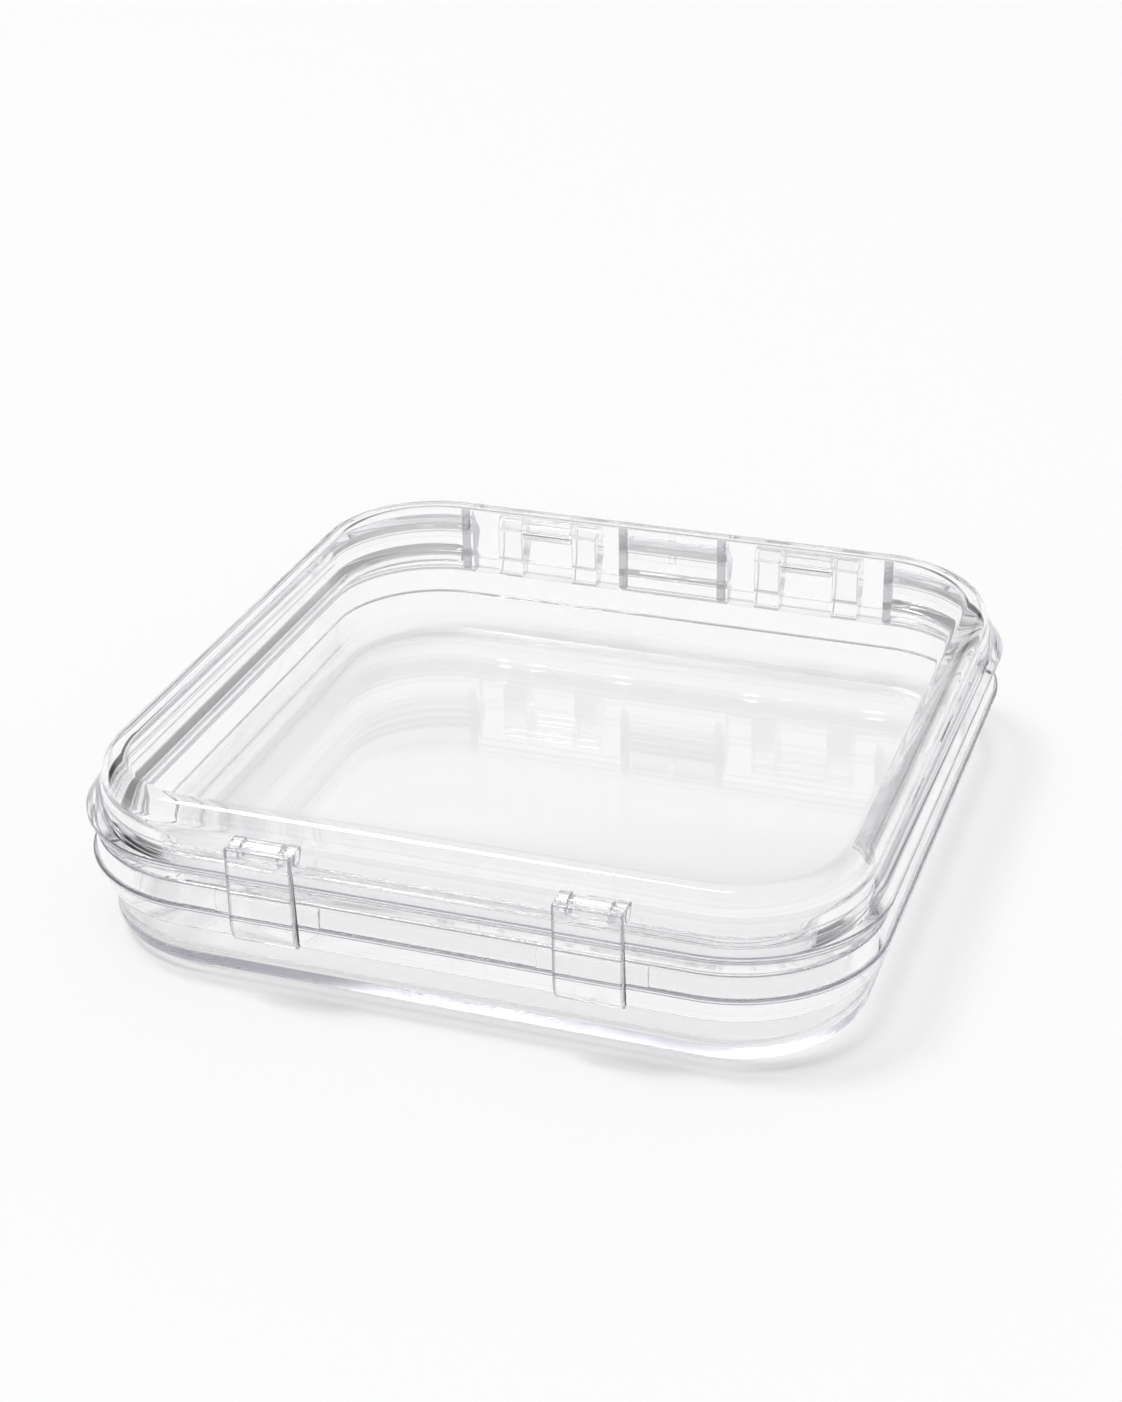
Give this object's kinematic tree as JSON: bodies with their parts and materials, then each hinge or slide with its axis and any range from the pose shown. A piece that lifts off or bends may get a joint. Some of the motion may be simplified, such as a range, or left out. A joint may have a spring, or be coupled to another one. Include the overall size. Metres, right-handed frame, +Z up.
{
  "type": "hinged storage box",
  "caption": "Clear square box with round corners: a shallow tray and a hinged, capped lid that pivoting front latches hold shut, for small flat things.",
  "frame": {"origin": "middle of the tray's flat underside, where the box stands", "axes": "+Z up through the lid, -Y towards the latches, +Y towards the hinges, +X to the right seen from the latches"},
  "size_m": [0.12, 0.1228, 0.0273],
  "materials": {
    "clear_tray": "clear acrylic with a faintly streaked outer wall",
    "clear_lid": "clear polished acrylic",
    "clear_latch": "clear polished acrylic",
    "clear_pin": "clear acrylic rod"
  },
  "bodies": {
    "tray_body": {"base_tray": "clear_tray", "hinge_pin_left": "clear_pin", "hinge_pin_right": "clear_pin"},
    "lid_body": {"lid": "clear_lid", "latch_pin_left": "clear_pin", "latch_pin_right": "clear_pin"},
    "latch_left_body": {"latch_left": "clear_latch"},
    "latch_right_body": {"latch_right": "clear_latch"}
  },
  "joints": [
    {"name": "lid_hinge", "type": "hinge", "parent": "tray_body", "child": "lid_body", "pos_m": [0, 0.0592, 0.0215], "axis": [-1, 0, 0], "range_deg": [0, 155]},
    {"name": "latch_left_pivot", "type": "hinge", "parent": "lid_body", "child": "latch_left_body", "pos_m": [-0.0238, -0.0587, 0.023], "axis": [-1, 0, 0], "range_deg": [0, 80]},
    {"name": "latch_right_pivot", "type": "hinge", "parent": "lid_body", "child": "latch_right_body", "pos_m": [0.0238, -0.0587, 0.023], "axis": [-1, 0, 0], "range_deg": [0, 80]}
  ]
}
